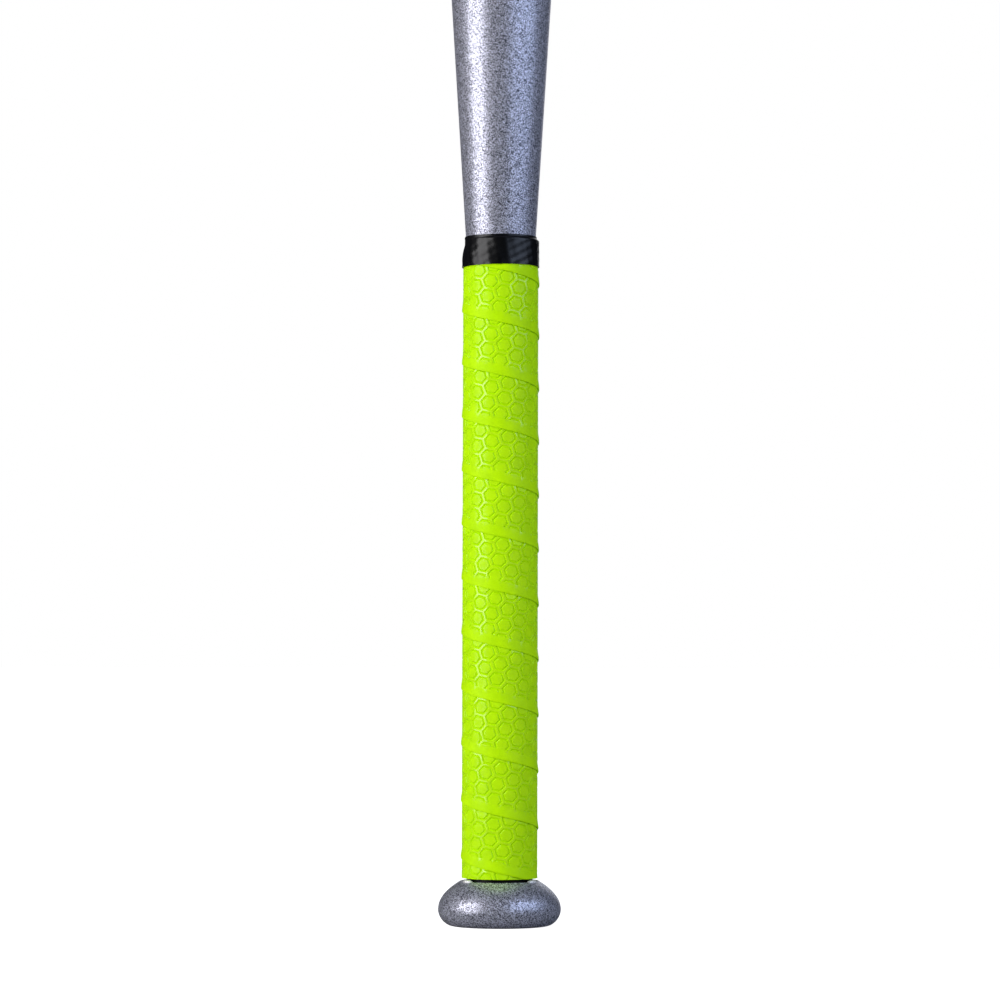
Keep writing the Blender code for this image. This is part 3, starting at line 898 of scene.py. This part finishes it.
# ---------------------------------------------------------------- grip
# The grip is a soft polyurethane strip, its face heat-embossed with hexagons. It is wound up the
# handle so that each turn's smooth lower margin laps the turn below, and it is trimmed square
# above the knob and under the finishing tape.
STRIP_THICKNESS = 0.0015
GRIP_RADIUS = HANDLE_RADIUS + 2 * LAYER_GAP + FILM_THICKNESS + STRIP_THICKNESS
GRIP_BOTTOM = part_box("grip_tape")[0].z
GRIP_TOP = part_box("grip_tape")[1].z
LAP_STEP = 0.00045
LAP_LEVEL = 0.0004  # the edge stays level so far before it settles
SKIVED_EDGE = 0.0005
NOSE_DEPTH = 0.00015
NOSE_WIDTH = 0.0005
MEAN_LEAD = 0.0222
GIRTH = 2 * np.pi * GRIP_RADIUS
LEAN = np.arctan(MEAN_LEAD / GIRTH)  # between the strip and the level
STRIP_ACROSS = STRIP_WIDTH * np.cos(LEAN)
WIND_TURNS = (-1.55, 11.8)
STRETCH = 0.00175  # of strip, for each turn away from the middle of the grip
MIDDLE_TURN = 5.8
STRETCH_EASE = 0.6
STRETCH_START = 0.0035

HEX_PITCH = 0.0063  # across the strip
HEX_COLUMN = 0.0060  # along it
HEX_ROW_SHIFT = -0.0006  # of the whole pattern, across the strip
HEX_STRETCH = HEX_COLUMN / (HEX_PITCH * np.sqrt(3) / 2)
HEX_SHARPNESS = 60
GROOVE_DEPTH = 0.00036
EMBOSS_AT = np.array([0.0, 0.00038, 0.00081, 0.00124, 0.00315])  # inwards from a cell's border
EMBOSS_HEIGHT = np.array([0.0, 0.0, -GROOVE_DEPTH, 0.0, 0.00004])
POLISH = np.array([0.9, 0.05, 0.0, 0.15, 0.0])
MARGIN = 0.0040
MARGIN_FADE = 0.0003
TOP_MARGIN = 0.0005
TOP_FADE = 0.0008
TILE_STEP = HEX_COLUMN / 4
TAPE_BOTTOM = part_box("finishing_tape")[0].z
TAPE_SQUEEZE = 0.0003
SQUEEZE_START = TAPE_BOTTOM - 0.0010
SQUEEZE_LENGTH = 0.0012
FEATHER = 0.0011
FEATHER_LENGTH = 0.0062


def hexagon_reach(x, y):
    """Distance of (x, y) from a hexagon's centre, measured square to its sides.

    It is a high power mean over the three pairs of sides, which rounds the corners a little.
    """
    x = x / HEX_STRETCH
    sides = np.stack([y, x * np.sqrt(0.75) + y / 2, x * np.sqrt(0.75) - y / 2])
    scale = np.abs(sides).max(axis=0) + 1e-12
    return scale * np.sum(np.abs(sides / scale) ** HEX_SHARPNESS, axis=0) ** (1 / HEX_SHARPNESS)


def hexagon_centres():
    """Centres of the cells that touch one tile, the middle column shifted by half a cell."""
    row = np.arange(-1, int(STRIP_ACROSS / HEX_PITCH) + 2) * HEX_PITCH + HEX_ROW_SHIFT
    outer = np.concatenate([np.stack([0 * row + x, row], -1) for x in (0, 2 * HEX_COLUMN)])
    return np.concatenate([outer, np.stack([0 * row + HEX_COLUMN, row + HEX_PITCH / 2], -1)])


def tile_points():
    """Points and constraint edges of one tile: rings round each cell, and lines along the strip.

    The rings follow the emboss from the cell's border to the flat of its middle. The lines are
    its two edges, the rounding of the lower one, and both sides of the smooth margin.
    """
    turn = full_circle(12)
    unit = np.stack([np.cos(turn), np.sin(turn)], -1)
    reach = hexagon_reach(unit[:, 0] * HEX_STRETCH, unit[:, 1])
    levels = (HEX_PITCH / 2 - EMBOSS_AT[:-1])[:, None]
    rings = levels[..., None] * (unit / reach[:, None] * (HEX_STRETCH, 1))
    corners = np.array([1 / np.cos(np.pi / 6), 1] * 6)[:, None]
    rings[0] = HEX_PITCH / 2 * unit * corners * (HEX_STRETCH, 1)
    centres = hexagon_centres()
    cells = centres[:, None, None] + rings
    low, high = MARGIN - 0.0008, STRIP_ACROSS - 0.0007  # where the rings give way to lines

    def inside(points):
        fits_along = (points[..., 0] > -1e-7) & (points[..., 0] < 2 * HEX_COLUMN + 1e-7)
        return fits_along & (points[..., 1] > low) & (points[..., 1] < high)

    after = np.roll(cells, -1, axis=2)
    kept = inside(cells) & inside(after)
    spans = np.stack([cells[kept], after[kept]], axis=1)
    along = np.arange(9) * TILE_STEP
    across = [0, 0.0001, 0.00025, 0.0005, 0.0011, 0.0022, MARGIN, MARGIN + MARGIN_FADE]
    across += [STRIP_ACROSS - TOP_MARGIN, STRIP_ACROSS]
    lines = np.stack(np.meshgrid(along, across), axis=-1)
    runs = np.stack([lines[:, :-1], lines[:, 1:]], axis=2).reshape(-1, 2, 2)
    spans = np.concatenate([spans, runs])
    middles = centres[inside(centres)]
    points = np.concatenate([spans.reshape(-1, 2), middles])
    edges = np.arange(len(spans) * 2).reshape(-1, 2)
    return points, edges


def triangulated_tile():
    """One repeat of the pattern as points (along, across) and triangles, its two ends alike."""
    points, edges = tile_points()
    points, number = np.unique(points.round(7), axis=0, return_inverse=True)
    edges = np.unique(np.sort(number.reshape(-1)[edges], axis=1), axis=0)
    cut = delaunay_2d_cdt([Vector(p) for p in points], edges.tolist(), [], 0, 1e-7)
    return np.array([tuple(p) for p in cut[0]]), np.array(cut[2])


def border_distance(along, across):
    """Distance of each point of a tile from the border of the cell that it is in."""
    x = along[:, None] - hexagon_centres()[:, 0]
    y = across[:, None] - hexagon_centres()[:, 1]
    return HEX_PITCH / 2 - hexagon_reach(x, y).min(axis=1)


def emboss_height(along, across):
    """Height of the pattern: a V groove parallel to each cell's border, none in the margins."""
    from_border = border_distance(along, across)
    above = np.clip((across - MARGIN) / MARGIN_FADE, 0, 1)
    below = np.clip((STRIP_ACROSS - TOP_MARGIN - across) / TOP_FADE, 0, 1)
    return np.interp(from_border, EMBOSS_AT, EMBOSS_HEIGHT) * above * below


def pressed_share(along, across):
    """How much the hot die polished a point: most on the ridge between cells, a little on a lip."""
    share = np.interp(border_distance(along, across), EMBOSS_AT, POLISH)
    return share * (across > MARGIN)


def turn_at(along, across):
    """Turn of a point of the strip, which stretches as it is wound, least in the middle.

    The stretch depends on the turn by a hyperbola, so the turn is found in four rounds.
    """
    turn = along / GIRTH
    for _ in range(4):
        stretch = STRETCH * np.sqrt((turn - MIDDLE_TURN) ** 2 + STRETCH_EASE) - STRETCH_START
        turn = ((along + stretch) * np.cos(LEAN) - across * np.sin(LEAN)) / GIRTH
    return turn


def grip_seat(z):
    """Radius of what the grip lies on: the tube with the adhesive film on it."""
    return shell_radius(z) + 2 * LAYER_GAP + FILM_THICKNESS


def eased(x):
    """A smooth step from 0 to 1 as x goes from 0 to 1."""
    x = np.clip(x, 0, 1)
    return x * x * (3 - 2 * x)


def face_radius(turn, rise):
    """Radius of the strip's plain face at a height above its lower edge.

    The lower margin stands proud by the lap's step, rounded at its edge, and settles over the
    lap's width. The upper margin sinks under the next turn.
    """
    proud = LAP_STEP * (1 - eased((rise - LAP_LEVEL) / lap(turn)))
    edge = np.clip(1 - rise / NOSE_WIDTH, 0, 1)
    nose = NOSE_DEPTH * (1 - np.sqrt(1 - edge**2))
    sinking = strip_foot(turn + 1) - strip_foot(turn) - NOSE_WIDTH
    sunk = np.clip((rise - sinking) / (STRIP_WIDTH - sinking), 0, 1)
    top_seat = grip_seat(strip_foot(turn) + STRIP_WIDTH) + SKIVED_EDGE
    return GRIP_RADIUS + proud - nose + (top_seat - GRIP_RADIUS) * sunk


def feathered(turn, z):
    """How far the strip's last few millimetres thin out, all on the side where it was trimmed."""
    side = np.clip(np.sin(2 * np.pi * turn), 0, 1)
    return FEATHER * side * eased((z - GRIP_TOP + FEATHER_LENGTH) / FEATHER_LENGTH)


def bound_radius(turn, z):
    """The most radius that the grip may have: plenty below the finishing tape, less under it."""
    drawn_in = (LAP_STEP + TAPE_SQUEEZE) * eased((z - SQUEEZE_START) / SQUEEZE_LENGTH)
    return GRIP_RADIUS + LAP_STEP - drawn_in - feathered(turn, z)


def back_points(turn):
    """The strip's top edge, its back on the tube, the tuck over the turn below, its lower edge."""
    foot = strip_foot(turn)
    over = lap(turn)
    tucked = grip_seat(foot + over)
    lifted = GRIP_RADIUS + LAP_STEP
    top = grip_seat(foot + STRIP_WIDTH)
    path = [
        (top, foot + STRIP_WIDTH),
        (tucked, foot + over + LAYER_GAP),
        (tucked + SKIVED_EDGE + LAYER_GAP, foot + over + LAYER_GAP),
        (lifted - SKIVED_EDGE, foot + LAYER_GAP),
    ]
    held = [(np.minimum(r, bound_radius(turn, z) - LAYER_GAP), z) for r, z in path]
    return np.stack([wound(turn, r, z) for r, z in held], axis=1)


def embossed_strip():
    """The wound strip: the tile repeated along its face, and quads round its edges and back."""
    tile, triangles = triangulated_tile()
    along, across = tile[:, 0], tile[:, 1]
    depth = emboss_height(along, across)
    tiles_per_turn = GIRTH / np.cos(LEAN) / (2 * HEX_COLUMN)
    first = int(np.floor(WIND_TURNS[0] * tiles_per_turn))
    count = int(np.ceil((WIND_TURNS[1] - WIND_TURNS[0]) * tiles_per_turn))
    repeat = np.arange(first, first + count + 1)
    place = along + 2 * HEX_COLUMN * repeat[:, None]
    turn = turn_at(place, across)
    rise = across / np.cos(LEAN)
    height = strip_foot(turn) + rise
    r = np.minimum(face_radius(turn, rise) + depth, bound_radius(turn, height))
    face_points = wound(turn, r, height).reshape(-1, 3)

    start = np.abs(along) < 1e-6
    end = np.abs(along - 2 * HEX_COLUMN) < 1e-6
    same = np.arange(len(tile))
    start_rank, end_rank = (np.flatnonzero(side)[np.argsort(across[side])] for side in (start, end))
    same[end_rank] = start_rank + len(tile)
    shift = len(tile) * np.arange(count)[:, None, None]
    face = same[triangles[:, ::-1]] + shift

    def border(level):
        chosen = np.flatnonzero((np.abs(across - level) < 1e-6) & ~end)
        ordered = chosen[np.argsort(along[chosen])]
        return (ordered + len(tile) * np.arange(count + 1)[:, None]).reshape(-1)

    bottom, top = border(0), border(STRIP_ACROSS)
    top_turn, bottom_turn = turn.reshape(-1)[top], turn.reshape(-1)[bottom]
    back = back_points(top_turn)
    lower = back_points(bottom_turn)
    back[:, 2:] = lower[:, 2:]
    numbers = len(face_points) + np.arange(back.shape[0] * 4).reshape(-1, 4)
    columns = np.concatenate([top[:, None], numbers, bottom[:, None]], axis=1)
    quads = np.stack([columns[:-1, :-1], columns[1:, :-1], columns[1:, 1:], columns[:-1, 1:]], -1)
    points = np.concatenate([face_points, back.reshape(-1, 3)])
    faces = face.reshape(-1, 3).tolist() + quads[:, ::-1].reshape(-1, 4).tolist()
    pressed = np.tile(pressed_share(along, across), count + 1)
    return points, faces, np.pad(pressed, (0, back.shape[0] * 4))


def cut_square(builder, level, keep_above):
    """Cuts a mesh level at a height, keeps one side of it and closes the cut with one face."""
    cut = bmesh.ops.bisect_plane(
        builder,
        geom=builder.verts[:] + builder.edges[:] + builder.faces[:],
        dist=1e-7,
        plane_co=(0.0, 0.0, level),
        plane_no=(0.0, 0.0, 1.0),
        clear_inner=keep_above,
        clear_outer=not keep_above,
    )
    rim = [edge for edge in cut["geom_cut"] if isinstance(edge, bmesh.types.BMEdge)]
    bmesh.ops.edgeloop_fill(builder, edges=rim)


def make_polyurethane():
    """Lime polyurethane: an even colour, dry to the touch, with a fine skin texture."""
    finish, tree, shader = new_finish(
        "grip_polyurethane", Specular_IOR_Level=0.08, Coat_Roughness=0.14, Coat_IOR=1.8
    )
    pores = add_texture(tree, "TexNoise", 3500.0, Detail=3.0)
    cloud_colour(tree, shader, 250.0, (0.40, 0.72, 0.0, 1), (0.46, 0.79, 0.0, 1))
    link(tree, add_mottle(tree, 600.0, 0.42, 0.56), shader, "Roughness")
    pressed = add_node(tree, "Attribute", attribute_name="pressed")
    link(tree, pressed.outputs["Fac"], shader, "Coat Weight")
    link(tree, add_bump(tree, pores.outputs[0], 0.00005, 0.8), shader, "Normal")
    return finish


*strip_skin, strip_pressed = embossed_strip()
lime = make_polyurethane()
grip = add_piece("embossed_grip", *strip_skin, lime, "grip_tape", "grip_polyurethane", crease=18)
pressed = grip.data.attributes.new("pressed", "FLOAT", "POINT")
pressed.data.foreach_set("value", strip_pressed)
builder = bmesh.new()
builder.from_mesh(grip.data)
cut_square(builder, GRIP_BOTTOM, keep_above=True)
cut_square(builder, GRIP_TOP, keep_above=False)
builder.to_mesh(grip.data)
builder.free()

# ---------------------------------------------------------------- finishing tape
# Glossy vinyl tape, wound a little more than one and a half turns, binds the grip's end and runs up
# onto the bare tube. Stretched over the step, it takes up in small tucks.
TAPE_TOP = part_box("finishing_tape")[1].z
TAPE_THICKNESS = 0.00015
TAPE_TURNS = (0.0, 1.62)
TAPE_WAIST = GRIP_RADIUS - LAYER_GAP  # the tape squeezes the grip's soft end to this radius
TAPE_STEP = 0.0012
TAPE_SLACK = 0.00005
CREASE_DEPTH = 0.00007
TUCK_DEPTH = 0.0003
TAPE_WAVER = 0.00015


def tape_grid():
    """The tape's section at each step of its winding: level on the grip, eased down to the tube.

    Each turn lies on the last, drawn in over the strip's thinned end. The band's creases are the
    product of two slow waves, and small tucks ripple its step.
    """
    turn = np.linspace(*TAPE_TURNS, 420)[:, None]
    share = np.linspace(0, 1, 48)
    z = TAPE_BOTTOM + (TAPE_TOP - TAPE_BOTTOM) * share
    drop = eased((z - GRIP_TOP) / TAPE_STEP)
    layer = LAYER_GAP + (TAPE_THICKNESS + TAPE_SLACK) * turn
    around = 2 * np.pi * turn
    crease = np.sin(19 * around + 9 * share) * np.sin(14 * share - 5 * around)
    tuck = np.sin(17 * around) * np.sin(6 * around + 1)
    ripple = (CREASE_DEPTH * crease + TUCK_DEPTH * tuck * drop) * (1 - drop)
    waist = TAPE_WAIST - feathered(turn, z)
    inner = waist + layer + (shell_radius(z) - waist) * drop + ripple
    outer = inner + TAPE_THICKNESS
    r = np.concatenate([outer, inner[:, ::-1]], axis=1)
    height = np.concatenate([z, z[::-1]]) + TAPE_WAVER * np.sin(9 * turn)
    return close_ends(wound(turn, r, height))


def make_vinyl():
    """Glossy black vinyl with a calendered grain too fine to feel."""
    finish, tree, shader = new_finish("gloss_vinyl", IOR=1.52)
    grain = add_texture(tree, "TexNoise", 900.0, Detail=4.0)
    cloud_colour(tree, shader, 300.0, (0.0004, 0.0004, 0.0006, 1), (0.0010, 0.0010, 0.0014, 1))
    link(tree, add_mottle(tree, 250.0, 0.26, 0.38), shader, "Roughness")
    link(tree, add_bump(tree, grain.outputs[0], 0.00003), shader, "Normal")
    return finish


add_piece("vinyl_finishing_tape", *skin(tape_grid()), make_vinyl(), "finishing_tape", "black_vinyl")
